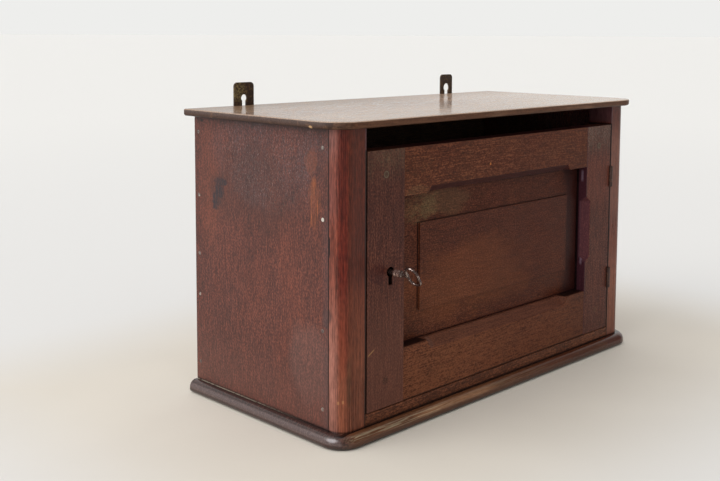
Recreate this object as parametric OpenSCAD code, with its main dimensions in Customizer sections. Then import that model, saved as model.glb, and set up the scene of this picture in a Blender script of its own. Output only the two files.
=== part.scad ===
// Small oak wall cabinet with one framed door, an open slot above it and two hanging plates.
// X runs to the right, Y to the back and Z up. The origin is the middle of the base underside,
// half way between the front of the posts and the back.

/* [Carcass] */
// Width across the side boards
cabinet_w = 430; // [390:5:520]
// Depth from the front of the posts to the back
cabinet_d = 200; // [150:5:260]
// Height of the posts and sides, between the base and the top
side_h = 253; // [225:1:320]
// Thickness of the side boards
side_t = 10; // [8:0.5:12]
// Thickness of the back boards
back_t = 12; // [9:0.5:16]
// Height at which the two back boards meet, above the base
back_joint_h = 128; // [100:1:150]
// Length of the lap between the two back boards
back_lap = 6; // [4:0.5:10]

/* [Top and base] */
// Thickness of the top board
top_t = 6.5; // [5:0.5:12]
// Reach of the top board in front of the posts
top_front_reach = 8; // [4:0.5:16]
// Reach of the top board past each side
top_side_reach = 12; // [4:0.5:18]
// Radius of the top board's front corners, seen from above
top_corner_r = 26; // [12:1:40]
// Rounding of the top board's upper edge
top_upper_round = 1.2; // [0.5:0.1:2]
// Rounding of the top board's lower edge
top_lower_round = 2.4; // [1:0.1:2.6]
// Thickness of the base board
base_t = 12; // [11:0.5:20]
// Reach of the base board in front of the posts and past each side
base_reach = 9; // [4:0.5:16]
// Radius of the base board's front corners, seen from above
base_corner_r = 22; // [12:1:40]
// Rounding of the base board's upper edge
base_upper_round = 7; // [2:0.5:7]
// Rounding of the base board's lower edge
base_lower_round = 3.5; // [1:0.5:3.5]

/* [Posts and bottom rail] */
// Width of a front post
post_w = 28; // [24:0.5:36]
// Depth of a front post
post_d = 28; // [26:0.5:36]
// Depth of the post's own face on the side, in front of the side board
post_return = 15.6; // [14:0.2:18]
// Radius of the post's outer front corner
post_corner_r = 13; // [4:0.5:14]
// Height of the rail under the door
bottom_rail_h = 10.2; // [8:0.2:16]
// Length of the rail's stub tenons
rail_tenon_l = 8; // [4:0.5:9]
// Thickness of the rail's stub tenons
rail_tenon_t = 5; // [3:0.5:5]

/* [Door] */
// Thickness of the door frame
door_t = 18; // [17:0.5:18.5]
// Height of the open slot between the door and the top board
slot_h = 20; // [12:1:40]
// Gap between the door and the post on the lock side
lock_gap = 1.5; // [1.2:0.1:2.5]
// Gap between the door and the post on the hinge side
hinge_gap = 0.8; // [0.6:0.1:1.6]
// Gap under the door
door_foot_gap = 0.8; // [0.5:0.1:2]
// Width of the upright stiles
stile_w = 45; // [42:0.5:50]
// Height of the door's top rail
top_rail_h = 42; // [34:1:50]
// Height of the door's bottom rail
low_rail_h = 47; // [40:1:56]
// Length of the rail tenons
tenon_l = 32; // [28:1:36]
// Thickness of the rail tenons
tenon_t = 6; // [5:0.5:6.5]
// Set-in of the tenons from the front of the door
tenon_set = 5.6; // [5.2:0.2:6]
// Cheek left above and below each tenon
tenon_shoulder = 8; // [7:0.5:10]
// Radius of the pegs through the tenons
peg_r = 3.4; // [2:0.1:4]

/* [Door chamfers] */
// Chamfer along the top rail
top_chamfer = 6; // [3:0.5:8]
// Chamfer along the bottom rail
low_chamfer = 9; // [4:0.5:10]
// Chamfer along the right stile
stile_chamfer = 8; // [4:0.5:10]
// Plain length left at each end of a chamfer
chamfer_stop = 31; // [20:1:45]

/* [Door panel] */
// Depth of the panel's thin edge behind the front of the door
panel_set = 12; // [11:0.5:12.5]
// Depth of the raised field behind the front of the door
field_set = 6; // [4:0.5:7]
// Height of the small step round the raised field
field_step = 1.8; // [1:0.2:2.4]
// Width of the sloping border round the raised field
field_border = 27; // [18:1:36]
// Thickness of the panel's edge
panel_edge_t = 3.4; // [2.5:0.1:3.6]
// Depth of the grooves that hold the panel
groove_depth = 6; // [4:0.5:6.5]
// Play of the panel in its grooves
panel_play = 0.4; // [0.2:0.1:0.8]

/* [Hinges] */
// Height of a hinge
hinge_h = 22; // [18:1:32]
// Height of the upper hinge's middle, measured down from the top of the door
upper_hinge_drop = 56; // [40:1:70]
// Height of the lower hinge's middle, measured up from the foot of the door
lower_hinge_rise = 55; // [40:1:70]
// Width of a leaf, from the pin to its back edge
leaf_w = 14; // [12:0.5:16]
// Thickness of a leaf
leaf_t = 1; // [0.8:0.1:1.4]
// Radius of the knuckles
knuckle_r = 2.1; // [1.8:0.1:2.5]
// Radius of the hinge pin
hinge_pin_r = 1; // [0.7:0.1:1.2]
// Distance of the pin in front of the door
pin_out = 0.8; // [0.4:0.1:1.6]

/* [Lock and key] */
// Distance of the key from the door's edge
key_inset = 28; // [27:0.5:29]
// Height of the key above the foot of the door
key_rise = 117; // [100:1:125]
// Width of the lock case
lock_w = 45; // [44.5:0.5:50]
// Height of the lock case
lock_h = 36; // [34:1:42]
// Depth of the lock, with its plate
lock_depth = 10; // [9.6:0.1:10]
// Thickness of the lock's metal
lock_wall = 1.2; // [1:0.1:1.3]
// Strip of the lock plate above and below the case
plate_strip = 6; // [5:0.5:8]
// Height of the bolt
bolt_h = 10; // [8:0.5:11]
// Thickness of the bolt
bolt_t = 5; // [4:0.2:5.2]
// Travel of the bolt
bolt_travel = 7; // [5:0.5:8]
// Reach of the key's bit from the middle of the shank
bit_reach = 9.5; // [8.8:0.1:9.8]
// Radius of the key's shank
shank_r = 2.4; // [2.2:0.1:3]
// Length of the key's shank in front of the door
shank_out = 19.6; // [17:0.2:24]
// Radius of the bow's two round ends, to the middle of its wire
bow_r = 6.2; // [5:0.2:8]
// Length of the straight part between the bow's round ends
bow_straight = 6; // [2:0.5:10]
// Radius of the bow's wire
bow_wire_r = 1.1; // [0.8:0.1:1.6]
// Turn of the key away from upright as it stands in the lock
key_turned = 33; // [0:1:45]

/* [Hanging plates] */
// Width of the left hanging plate
hanger_left_w = 24; // [18:0.5:26]
// Width of the right hanging plate
hanger_right_w = 20.5; // [18:0.5:26]
// Thickness of a hanging plate
hanger_t = 1.6; // [1.2:0.1:2.5]
// Height of a hanging plate above the top board
hanger_rise = 22.5; // [18:0.5:30]
// Length of a hanging plate below the top board's upper face
hanger_tail = 46; // [40:1:56]
// Distance of the left plate's middle from the cabinet's left side
hanger_left_inset = 58; // [40:1:90]
// Distance of the right plate's middle from the cabinet's right side
hanger_right_inset = 69; // [40:1:90]
// Radius of the left plate's hanging hole
hanger_left_r = 3.6; // [3.5:0.1:5]
// Radius of the right plate's hanging hole
hanger_right_r = 4.9; // [3.5:0.1:5.5]
// Height of the hanging holes above the top board
hanger_hole_rise = 7.2; // [6:0.2:10]
// Length of the narrow neck below a hanging hole
hanger_neck_l = 14; // [11:0.5:16]
// Radius of the plates' top corners
hanger_corner_r = 4; // [1:0.5:6]
// Length of the screws that hold the plates
hanger_screw_l = 10; // [8:0.5:11]

/* [Hidden] */
$fn = 64;
nip = 0.05;
cut = 1;
seat_play = 0.3;

front_y = -cabinet_d / 2;
back_y = cabinet_d / 2;
half_w = cabinet_w / 2;
floor_z = base_t;
roof_z = base_t + side_h;
lid_z = roof_z + top_t;
bay_x = half_w - post_w;

door_left = -bay_x + lock_gap;
door_right = bay_x - hinge_gap;
door_foot = floor_z + bottom_rail_h + door_foot_gap;
door_head = roof_z - slot_h;
door_back = front_y + door_t;
inner_left = door_left + stile_w;
inner_right = door_right - stile_w;
inner_foot = door_foot + low_rail_h;
inner_head = door_head - top_rail_h;
groove_y = front_y + panel_set;

pin_x = bay_x - hinge_gap / 2;
pin_y = front_y - pin_out;
leaf_gap = 0.2;
knuckle_play = 0.35;
hinge_z = [door_head - upper_hinge_drop, door_foot + lower_hinge_rise];
hinge_screw_offset = hinge_h * 0.3;
hinge_screw_y = front_y + leaf_w * 0.55;

key_x = door_left + key_inset;
key_z = door_foot + key_rise;
plate_back = door_back + lock_wall;
lock_back = door_back + lock_depth;
lock_left = door_left;
lock_right = lock_left + lock_w;
case_drop = 14;
lock_foot = key_z - case_drop;
lock_head = lock_foot + lock_h;
bolt_gap = 1.2;
bit_bite = 1.2;
notch_from = 1.4;
notch_to = 10;
notch_air = 0.8;
bolt_front = plate_back + bolt_gap;
bolt_foot = key_z + bit_reach - bit_bite;
bolt_head = bolt_foot + bolt_h;
bolt_play = 0.3;
turn_back = bolt_travel * key_turned / 180;
keyhole_air = 2;
bolt_tail = lock_right - lock_wall - turn_back - bolt_play;
bit_t = 2.6;
bit_depth = 4.6;
keyhole_r = shank_r + keyhole_air;
keyhole_slot = bit_t + keyhole_air;
keyhole_reach = bit_reach + 1.8;
barrel_r = 1.4;
barrel_l = 9;
tip_gap = 0.9;
bit_end = 0.2;
drill_pin_gap = 1;

nail_r = 1;
nail_head_r = 1.7;
nail_head_t = 0.8;
nail_l = 24;
post_nail_y = front_y + (post_return + post_d) / 2 + 0.8;
back_nail_y = back_y - back_t / 2;
post_nail_shares = [0.065, 0.33, 0.7, 0.935];
back_nail_shares = [0.07, 0.33, 0.485, 0.705, 0.94];
brad_r = 0.7;
brad_l = 18;
brad_cover = 1.2;
screw_slope = 0.55;

hanger_left_x = hanger_left_inset - half_w;
hanger_right_x = half_w - hanger_right_inset;
hanger_x = [hanger_left_x, hanger_right_x];
hanger_half_w = [hanger_left_w / 2, hanger_right_w / 2];
hanger_hole_z = lid_z + hanger_hole_rise;
hanger_neck_share = 0.69;
hanger_screw_r = 1.6;
hanger_screw_inset = 7;
hanger_screw_step = 19.5;
hanger_screw_drop = [hanger_tail - hanger_screw_inset - hanger_screw_step, hanger_tail - hanger_screw_inset];

oak = [0.34, 0.2, 0.14];
oak_red = [0.42, 0.22, 0.16];
oak_dark = [0.26, 0.15, 0.11];
pine_back = [0.45, 0.33, 0.22];
brass_old = [0.4, 0.34, 0.2];
iron_dark = [0.2, 0.18, 0.17];
steel_worn = [0.6, 0.58, 0.55];

// A box between two corners
module block(low, high) {
  translate(low) cube(high - low);
}

// Section through a board's edge: flat inside, with a rounded upper and lower arris at reach
module edge_section(reach, t, upper_r, lower_r) {
  difference() {
    square([reach, t]);
    difference() {
      translate([reach - lower_r, -cut]) square([lower_r + cut, lower_r + cut]);
      translate([reach - lower_r, lower_r]) circle(lower_r);
    }
    difference() {
      translate([reach - upper_r, t - upper_r]) square([upper_r + cut, upper_r + cut]);
      translate([reach - upper_r, t - upper_r]) circle(upper_r);
    }
  }
}

// Board with the same rounded edge along its left, front and right, and round front corners
module edged_board(reach_x, reach_y, t, corner_r, upper_r, lower_r) {
  turn_x = reach_x - corner_r;
  turn_y = reach_y + corner_r;
  block([-turn_x, turn_y, 0], [turn_x, back_y, t]);
  translate([-turn_x, turn_y, 0]) rotate([90, 0, 90])
    mirror([1, 0, 0]) linear_extrude(2 * turn_x) edge_section(corner_r, t, upper_r, lower_r);
  for (side = [-1, 1]) {
    translate([side * turn_x, turn_y, 0]) {
      rotate([0, 0, side < 0 ? 180 : 270])
        rotate_extrude(angle = 90) edge_section(corner_r, t, upper_r, lower_r);
      mirror([side < 0 ? 1 : 0, 0, 0]) translate([0, back_y - turn_y, 0]) rotate([90, 0, 0])
        linear_extrude(back_y - turn_y) edge_section(corner_r, t, upper_r, lower_r);
    }
  }
}

// Countersunk screw along +Z from its head's face at the origin
module screw(r, head_r, l) {
  cylinder(h = (head_r - r) / screw_slope, r1 = head_r, r2 = r);
  cylinder(h = l, r = r);
}

// Hole that takes such a screw with a slip fit
module screw_hole(r, head_r, l) {
  screw(r + nip, head_r + nip, l + nip);
  translate([0, 0, -cut]) cylinder(h = cut + nip, r = head_r + nip);
}

// Nail along +Z with a flat head flush at the origin
module nail() {
  cylinder(h = nail_head_t, r = nail_head_r);
  cylinder(h = nail_l, r = nail_r);
}

module nail_hole() {
  translate([0, 0, -cut]) cylinder(h = nail_head_t + cut + nip, r = nail_head_r + nip);
  cylinder(h = nail_l + nip, r = nail_r + nip);
}

// Places of the nails through one side, or through both
module at_side_nails(sides) {
  for (side = sides) {
    for (share = post_nail_shares) {
      translate([side * half_w, post_nail_y, floor_z + share * side_h]) rotate([0, -90 * side, 0]) children();
    }
    for (share = back_nail_shares) {
      translate([side * half_w, back_nail_y, floor_z + share * side_h]) rotate([0, -90 * side, 0]) children();
    }
  }
}

// Places of the brads that hold the top board, pointing down
module at_top_brads() {
  side_x = half_w - side_t / 2;
  for (side = [-1, 1]) {
    translate([side * (half_w - post_w / 2), front_y + post_return / 2, lid_z - brad_cover])
      rotate([180, 0, 0]) children();
    for (share = [0.35, 0.65]) {
      translate([side * side_x, front_y + share * cabinet_d, lid_z - brad_cover])
        rotate([180, 0, 0]) children();
    }
  }
  for (share = [-0.8, 0, 0.8]) {
    translate([share * half_w, back_nail_y, lid_z - brad_cover]) rotate([180, 0, 0]) children();
  }
}

// Places of the screws that come up through the base
module at_base_screws() {
  side_x = half_w - side_t / 2;
  for (side = [-1, 1]) {
    translate([side * (half_w - post_corner_r), front_y + post_corner_r, 0]) children();
    translate([side * side_x, 0, 0]) children();
    translate([side * bay_x * 0.6, back_nail_y, 0]) children();
  }
}

base_screw_r = 1.6;
base_screw_head_r = 3;
base_screw_bite = 18;
base_screw_l = base_t + base_screw_bite;
base_screw_sink = 0.4;

module base_board() {
  color(oak_red) difference() {
    edged_board(half_w + base_reach, front_y - base_reach, base_t, base_corner_r,
      base_upper_round, base_lower_round);
    at_base_screws() translate([0, 0, base_screw_sink]) screw_hole(base_screw_r, base_screw_head_r, base_screw_l);
  }
}

// Shallow recess for each hanging plate between two heights
module hanger_recess(low, high) {
  for (i = [0, 1]) {
    block([hanger_x[i] - hanger_half_w[i], back_y - hanger_t, low],
      [hanger_x[i] + hanger_half_w[i], back_y + cut, high]);
  }
}

module top_board() {
  color(oak) difference() {
    translate([0, 0, roof_z])
      edged_board(half_w + top_side_reach, front_y - top_front_reach, top_t, top_corner_r,
        top_upper_round, top_lower_round);
    at_top_brads() cylinder(h = brad_l, r = brad_r + nip);
    hanger_recess(roof_z - cut, lid_z + cut);
  }
}

module side_board(side) {
  inner = side * (half_w - side_t);
  outer = side * half_w;
  difference() {
    block([min(inner, outer), front_y + post_return, floor_z], [max(inner, outer), back_y, roof_z]);
    at_side_nails([side]) nail_hole();
    at_top_brads() cylinder(h = brad_l + nip, r = brad_r + nip);
    at_base_screws() cylinder(h = base_screw_l + nip, r = base_screw_r + nip);
  }
}

module left_side() {
  color(oak) side_board(-1);
}

module right_side() {
  color(oak) side_board(1);
}

// Outline of the left post, seen from above, with its outer front corner at the origin
module post_outline() {
  difference() {
    square([post_w, post_d]);
    translate([-cut, post_return]) square([side_t + cut, post_d]);
    difference() {
      translate([-cut, -cut]) square(post_corner_r + cut);
      translate([post_corner_r, post_corner_r]) circle(post_corner_r);
    }
  }
}

// Stub tenon of the bottom rail, grown by a clearance for its mortise
module rail_tenon(side, grow) {
  mid_z = floor_z + bottom_rail_h / 2;
  inner = side * (bay_x - nip);
  outer = side * (bay_x + rail_tenon_l + grow);
  block([min(inner, outer), front_y + post_d * 0.3 - grow, mid_z - rail_tenon_t / 2 - grow],
    [max(inner, outer), front_y + post_d * 0.7 + grow, mid_z + rail_tenon_t / 2 + grow]);
}

module post(side) {
  difference() {
    translate([side * half_w, front_y, floor_z]) mirror([side > 0 ? 1 : 0, 0, 0])
      linear_extrude(side_h) post_outline();
    rail_tenon(side, nip);
    at_side_nails([side]) nail_hole();
    at_top_brads() cylinder(h = brad_l + nip, r = brad_r + nip);
    at_base_screws() cylinder(h = base_screw_l + nip, r = base_screw_r + nip);
  }
}

module left_post() {
  mortise_play = 0.5;
  color(oak_red) difference() {
    post(-1);
    block([-bay_x - bolt_travel - cut, bolt_front - mortise_play, bolt_foot - mortise_play],
      [-bay_x + cut, bolt_front + bolt_t + mortise_play, bolt_head + mortise_play]);
  }
}

// Hollow that clears a hinge's knuckles in the post and in the stile
module knuckle_hollow(z) {
  translate([pin_x, pin_y, z - hinge_h / 2 - knuckle_play])
    cylinder(h = hinge_h + 2 * knuckle_play, r = knuckle_r + knuckle_play);
}

module right_post() {
  color(oak_red) difference() {
    post(1);
    for (z = hinge_z) {
      knuckle_hollow(z);
      block([bay_x - cut, front_y - cut, z - hinge_h / 2],
        [pin_x + leaf_gap / 2 + leaf_t, pin_y + leaf_w, z + hinge_h / 2]);
      at_leaf_screws(z, 1) screw_hole(leaf_screw_r, leaf_screw_head_r, leaf_screw_l);
    }
  }
}

module bottom_rail() {
  color(oak) {
    difference() {
      union() {
        block([-bay_x, front_y, floor_z], [bay_x, front_y + post_d, floor_z + bottom_rail_h]);
        rail_tenon(-1, 0);
        rail_tenon(1, 0);
      }
      at_stop_nails() cylinder(h = stop_nail_l + nip, r = stop_nail_r + nip);
    }
  }
}

stop_w = 34;
stop_h = 12;
stop_inset = 20;
stop_x = inner_left + stop_inset;
stop_nail_r = 0.7;
stop_nail_bite = 7;
stop_nail_l = stop_h + stop_nail_bite;

// Places of the nails that go down through the door stop into the rail
module at_stop_nails() {
  mid_y = (door_back + seat_play + front_y + post_d) / 2;
  for (share = [0.25, 0.75]) {
    translate([stop_x + share * stop_w, mid_y, floor_z + bottom_rail_h + stop_h])
      rotate([180, 0, 0]) children();
  }
}

module door_stop() {
  color(oak_dark) difference() {
    block([stop_x, door_back + seat_play, floor_z + bottom_rail_h],
      [stop_x + stop_w, front_y + post_d, floor_z + bottom_rail_h + stop_h]);
    at_stop_nails() cylinder(h = stop_nail_l + nip, r = stop_nail_r + nip);
  }
}

// Lap between the back boards: the lower board keeps the front half of its thickness
module back_lower() {
  joint_z = floor_z + back_joint_h;
  color(pine_back) difference() {
    union() {
      block([-half_w + side_t, back_y - back_t, floor_z], [half_w - side_t, back_y, joint_z]);
      block([-half_w + side_t, back_y - back_t, joint_z - cut],
        [half_w - side_t, back_y - back_t / 2 - seat_play / 2, joint_z + back_lap]);
    }
    at_side_nails([-1, 1]) nail_hole();
    at_base_screws() cylinder(h = base_screw_l + nip, r = base_screw_r + nip);
  }
}

module back_upper() {
  joint_z = floor_z + back_joint_h;
  color(pine_back) difference() {
    block([-half_w + side_t, back_y - back_t, joint_z + seat_play], [half_w - side_t, back_y, roof_z]);
    block([-half_w, back_y - back_t - cut, joint_z - cut],
      [half_w, back_y - back_t / 2 + seat_play / 2, joint_z + back_lap + seat_play]);
    at_side_nails([-1, 1]) nail_hole();
    at_top_brads() cylinder(h = brad_l + nip, r = brad_r + nip);
    hanger_recess(lid_z - hanger_tail, roof_z + cut);
    at_hanger_screws() screw_hole(hanger_screw_r, hanger_screw_head_r, hanger_screw_l);
  }
}

module stop_nails() {
  color(iron_dark) at_stop_nails() cylinder(h = stop_nail_l, r = stop_nail_r);
}

module side_nails() {
  color(iron_dark) at_side_nails([-1, 1]) nail();
}

module top_brads() {
  color(iron_dark) at_top_brads() cylinder(h = brad_l, r = brad_r);
}

module base_screws() {
  color(iron_dark) at_base_screws() translate([0, 0, base_screw_sink])
    screw(base_screw_r, base_screw_head_r, base_screw_l - base_screw_sink);
}

hanger_screw_head_r = 3;

module at_hanger_screws() {
  for (x = hanger_x) {
    for (drop = hanger_screw_drop) {
      translate([x, back_y, lid_z - drop]) rotate([90, 0, 0]) children();
    }
  }
}

// Brass plate let into the back, with a round hanging hole that runs down into a neck
module hanger_plate(x, side_x, hole_r) {
  neck_w = 2 * hole_r * hanger_neck_share;
  corner_z = lid_z + hanger_rise - hanger_corner_r;
  difference() {
    union() {
      block([x - side_x, back_y - hanger_t, lid_z - hanger_tail], [x + side_x, back_y, corner_z]);
      block([x - side_x + hanger_corner_r, back_y - hanger_t, corner_z - cut],
        [x + side_x - hanger_corner_r, back_y, lid_z + hanger_rise]);
      for (side = [-1, 1]) {
        translate([x + side * (side_x - hanger_corner_r), back_y, corner_z])
          rotate([90, 0, 0]) cylinder(h = hanger_t, r = hanger_corner_r);
      }
    }
    translate([x, back_y + cut, hanger_hole_z]) rotate([90, 0, 0]) {
      cylinder(h = hanger_t + 2 * cut, r = hole_r);
      translate([0, -hanger_neck_l, 0]) cylinder(h = hanger_t + 2 * cut, r = neck_w / 2);
      translate([-neck_w / 2, -hanger_neck_l, 0]) cube([neck_w, hanger_neck_l, hanger_t + 2 * cut]);
    }
    at_hanger_screws() screw_hole(hanger_screw_r, hanger_screw_head_r, hanger_screw_l);
  }
}

module hanger_plate_left() {
  color(brass_old) hanger_plate(hanger_left_x, hanger_half_w[0], hanger_left_r);
}

module hanger_plate_right() {
  color(brass_old) hanger_plate(hanger_right_x, hanger_half_w[1], hanger_right_r);
}

module hanger_screws() {
  color(iron_dark) at_hanger_screws() screw(hanger_screw_r, hanger_screw_head_r, hanger_screw_l);
}

// Stopped chamfer cut along +Z on an arris at the origin. The wood fills the quarter +X, +Y,
// and both ends of the cut run out at 45 degrees.
module stop_chamfer(size, l) {
  face = size * sqrt(2);
  depth = face / 2;
  rotate([0, 0, 45]) intersection() {
    translate([0, 0, -face])
      linear_extrude(l + 2 * face) polygon([[depth, -face], [depth, face], [-face, face], [-face, -face]]);
    rotate([90, 0, 0]) translate([0, 0, -face])
      linear_extrude(2 * face) polygon([[-face, -face], [depth, depth], [depth, l - depth], [-face, l + face]]);
  }
}

// Tenon of a door rail, grown by a clearance for its mortise
module tenon(side, foot, head, grow) {
  root = side < 0 ? inner_left : inner_right;
  tip = root + side * (tenon_l + grow);
  start = root - side * nip;
  block([min(start, tip), front_y + tenon_set - grow, foot + tenon_shoulder - grow],
    [max(start, tip), front_y + tenon_set + tenon_t + grow, head - tenon_shoulder + grow]);
}

module top_tenon(side, grow) {
  tenon(side, inner_head, door_head, grow);
}

module low_tenon(side, grow) {
  tenon(side, door_foot, inner_foot, grow);
}

// Space of the panel's grooves, as one block round the opening
module groove_block() {
  block([inner_left - groove_depth, groove_y, inner_foot - groove_depth],
    [inner_right + groove_depth, groove_y + panel_edge_t + panel_play, inner_head + groove_depth]);
}

peg_mid_x = [(door_left + inner_left) / 2, (door_right + inner_right) / 2];
peg_mid_z = [(door_foot + inner_foot) / 2, (door_head + inner_head) / 2];

module at_pegs() {
  for (x = peg_mid_x) {
    for (z = peg_mid_z) {
      translate([x, front_y, z]) rotate([-90, 0, 0]) children();
    }
  }
}

module peg_holes() {
  at_pegs() translate([0, 0, -cut]) cylinder(h = door_t + 2 * cut, r = peg_r + nip);
}

// Keyhole through a plate or a stile: round above, with a straight slot below
module keyhole(depth) {
  translate([key_x, front_y - cut, key_z]) rotate([-90, 0, 0]) {
    cylinder(h = depth, r = keyhole_r);
    translate([-keyhole_slot / 2, 0, 0]) cube([keyhole_slot, keyhole_reach, depth]);
  }
}

lock_screw_r = 1.2;
lock_screw_head_r = 2.2;
lock_screw_l = 11;
lock_screw_inset = [6, 5];

module at_lock_screws() {
  for (x = [lock_left + lock_screw_inset[0], lock_left + stile_w - groove_depth - lock_screw_inset[1]]) {
    for (z = [lock_foot - plate_strip / 2, lock_head + plate_strip / 2]) {
      translate([x, plate_back, z]) rotate([90, 0, 0]) children();
    }
  }
}

module door_left_stile() {
  color(oak_dark) difference() {
    block([door_left, front_y, door_foot], [inner_left, door_back, door_head]);
    groove_block();
    top_tenon(-1, nip);
    low_tenon(-1, nip);
    peg_holes();
    keyhole(door_t + 2 * cut);
    at_lock_screws() screw_hole(lock_screw_r, lock_screw_head_r, lock_screw_l);
  }
}

leaf_screw_r = 1.1;
leaf_screw_head_r = 1.9;
leaf_screw_l = 12;

// Places of one hinge's screws, from the leaf's open face into the wood on one side
module at_leaf_screws(z, side) {
  for (step = [-1, 1]) {
    translate([pin_x + side * leaf_gap / 2, hinge_screw_y, z + step * hinge_screw_offset])
      rotate([0, 90 * side, 0]) children();
  }
}

module door_right_stile() {
  color(oak_dark) difference() {
    block([inner_right, front_y, door_foot], [door_right, door_back, door_head]);
    groove_block();
    top_tenon(1, nip);
    low_tenon(1, nip);
    peg_holes();
    translate([inner_right, front_y, inner_foot + chamfer_stop])
      stop_chamfer(stile_chamfer, inner_head - inner_foot - 2 * chamfer_stop);
    for (z = hinge_z) {
      knuckle_hollow(z);
      block([pin_x - leaf_gap / 2 - leaf_t, front_y - cut, z - hinge_h / 2],
        [door_right + cut, pin_y + leaf_w, z + hinge_h / 2]);
      at_leaf_screws(z, -1) screw_hole(leaf_screw_r, leaf_screw_head_r, leaf_screw_l);
    }
  }
}

rail_chamfer_l = inner_right - inner_left - 2 * chamfer_stop;

module door_top_rail() {
  color(oak) difference() {
    union() {
      block([inner_left, front_y, inner_head], [inner_right, door_back, door_head]);
      top_tenon(-1, 0);
      top_tenon(1, 0);
    }
    groove_block();
    peg_holes();
    translate([inner_left + chamfer_stop, front_y, inner_head]) rotate([90, 0, 90])
      stop_chamfer(top_chamfer, rail_chamfer_l);
  }
}

module door_bottom_rail() {
  color(oak) difference() {
    union() {
      block([inner_left, front_y, door_foot], [inner_right, door_back, inner_foot]);
      low_tenon(-1, 0);
      low_tenon(1, 0);
    }
    groove_block();
    peg_holes();
    translate([inner_left + chamfer_stop, front_y, inner_foot]) rotate([0, 90, 0])
      stop_chamfer(low_chamfer, rail_chamfer_l);
  }
}

// Profile of the panel across its width or height: thin edge, sloping border, step and raised field
module panel_profile(low, high) {
  tongue = groove_depth - panel_play;
  edge_y = panel_set + panel_play / 2;
  polygon([
    [low - tongue, edge_y + panel_edge_t], [low - tongue, edge_y], [low, edge_y],
    [low + field_border, field_set + field_step], [low + field_border, field_set],
    [high - field_border, field_set], [high - field_border, field_set + field_step],
    [high, edge_y], [high + tongue, edge_y], [high + tongue, edge_y + panel_edge_t]
  ]);
}

module door_panel() {
  span_x = inner_right - inner_left;
  span_z = inner_head - inner_foot;
  color(oak) intersection() {
    translate([0, front_y, inner_foot - groove_depth])
      linear_extrude(span_z + 2 * groove_depth) panel_profile(inner_left, inner_right);
    translate([inner_left - groove_depth, front_y, 0]) rotate([90, 0, 90])
      linear_extrude(span_x + 2 * groove_depth) mirror_profile() panel_profile(inner_foot, inner_head);
  }
}

// Swaps the profile's two directions, so that it reads depth first and height second
module mirror_profile() {
  rotate(90) mirror([0, 1, 0]) children();
}

module door_pegs() {
  color(oak_red) at_pegs() cylinder(h = door_t, r = peg_r);
}

// One third of the hinge's height, less the play between the knuckles
knuckle_h = hinge_h / 3;
knuckle_gap = 0.15;

module knuckle(z, place, r) {
  translate([pin_x, pin_y, z - hinge_h / 2 + place * knuckle_h + knuckle_gap / 2])
    cylinder(h = knuckle_h - knuckle_gap, r = r);
}

// Space that a leaf leaves free for the other leaf's knuckle
module knuckle_room(z, place) {
  translate([pin_x, pin_y, z - hinge_h / 2 + place * knuckle_h - knuckle_gap / 2])
    cylinder(h = knuckle_h + knuckle_gap, r = knuckle_r + 0.15);
}

module hinge_leaf(z, side, own, other, bore) {
  near = pin_x + side * leaf_gap / 2;
  far = near + side * leaf_t;
  difference() {
    union() {
      difference() {
        block([min(near, far), pin_y, z - hinge_h / 2], [max(near, far), pin_y + leaf_w, z + hinge_h / 2]);
        for (place = other) {
          knuckle_room(z, place);
        }
      }
      for (place = own) {
        knuckle(z, place, knuckle_r);
      }
    }
    translate([pin_x, pin_y, z - hinge_h / 2 - cut]) cylinder(h = hinge_h + 2 * cut, r = bore);
    at_leaf_screws(z, side) screw_hole(leaf_screw_r, leaf_screw_head_r, leaf_screw_l);
  }
}

module hinge_pin(z) {
  translate([pin_x, pin_y, z - hinge_h / 2]) cylinder(h = hinge_h, r = hinge_pin_r);
}

module upper_hinge_post_leaf() {
  color(brass_old) hinge_leaf(hinge_z[0], 1, [0, 2], [1], hinge_pin_r + 0.02);
}

module upper_hinge_door_leaf() {
  color(brass_old) hinge_leaf(hinge_z[0], -1, [1], [0, 2], hinge_pin_r + nip);
}

module upper_hinge_pin() {
  color(iron_dark) hinge_pin(hinge_z[0]);
}

module lower_hinge_post_leaf() {
  color(brass_old) hinge_leaf(hinge_z[1], 1, [0, 2], [1], hinge_pin_r + 0.02);
}

module lower_hinge_door_leaf() {
  color(brass_old) hinge_leaf(hinge_z[1], -1, [1], [0, 2], hinge_pin_r + nip);
}

module lower_hinge_pin() {
  color(iron_dark) hinge_pin(hinge_z[1]);
}

module leaf_screws(side) {
  for (z = hinge_z) {
    at_leaf_screws(z, side) screw(leaf_screw_r, leaf_screw_head_r, leaf_screw_l);
  }
}

module hinge_post_screws() {
  color(brass_old) leaf_screws(1);
}

module hinge_door_screws() {
  color(brass_old) leaf_screws(-1);
}

module lock_plate() {
  color(iron_dark) difference() {
    block([lock_left, door_back, lock_foot - plate_strip], [lock_right, plate_back, lock_head + plate_strip]);
    keyhole(door_t + lock_wall + 2 * cut);
    at_lock_screws() screw_hole(lock_screw_r, lock_screw_head_r, lock_screw_l);
  }
}

// Pressed case, open towards the plate, with a window for the bolt and the pin that the key turns on
module lock_case() {
  color(iron_dark) {
    difference() {
      block([lock_left, plate_back, lock_foot], [lock_right, lock_back, lock_head]);
      block([lock_left + lock_wall, plate_back - cut, lock_foot + lock_wall],
        [lock_right - lock_wall, lock_back - lock_wall, lock_head - lock_wall]);
      block([lock_left - cut, bolt_front - bolt_play, bolt_foot - bolt_play],
        [lock_left + lock_wall + cut, bolt_front + bolt_t + bolt_play, bolt_head + bolt_play]);
    }
    translate([key_x, lock_back - lock_wall / 2, key_z]) rotate([90, 0, 0])
      cylinder(h = lock_depth - lock_wall - drill_pin_gap, r = barrel_r - nip);
  }
}

module lock_screws() {
  color(iron_dark) at_lock_screws() screw(lock_screw_r, lock_screw_head_r, lock_screw_l);
}

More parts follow.
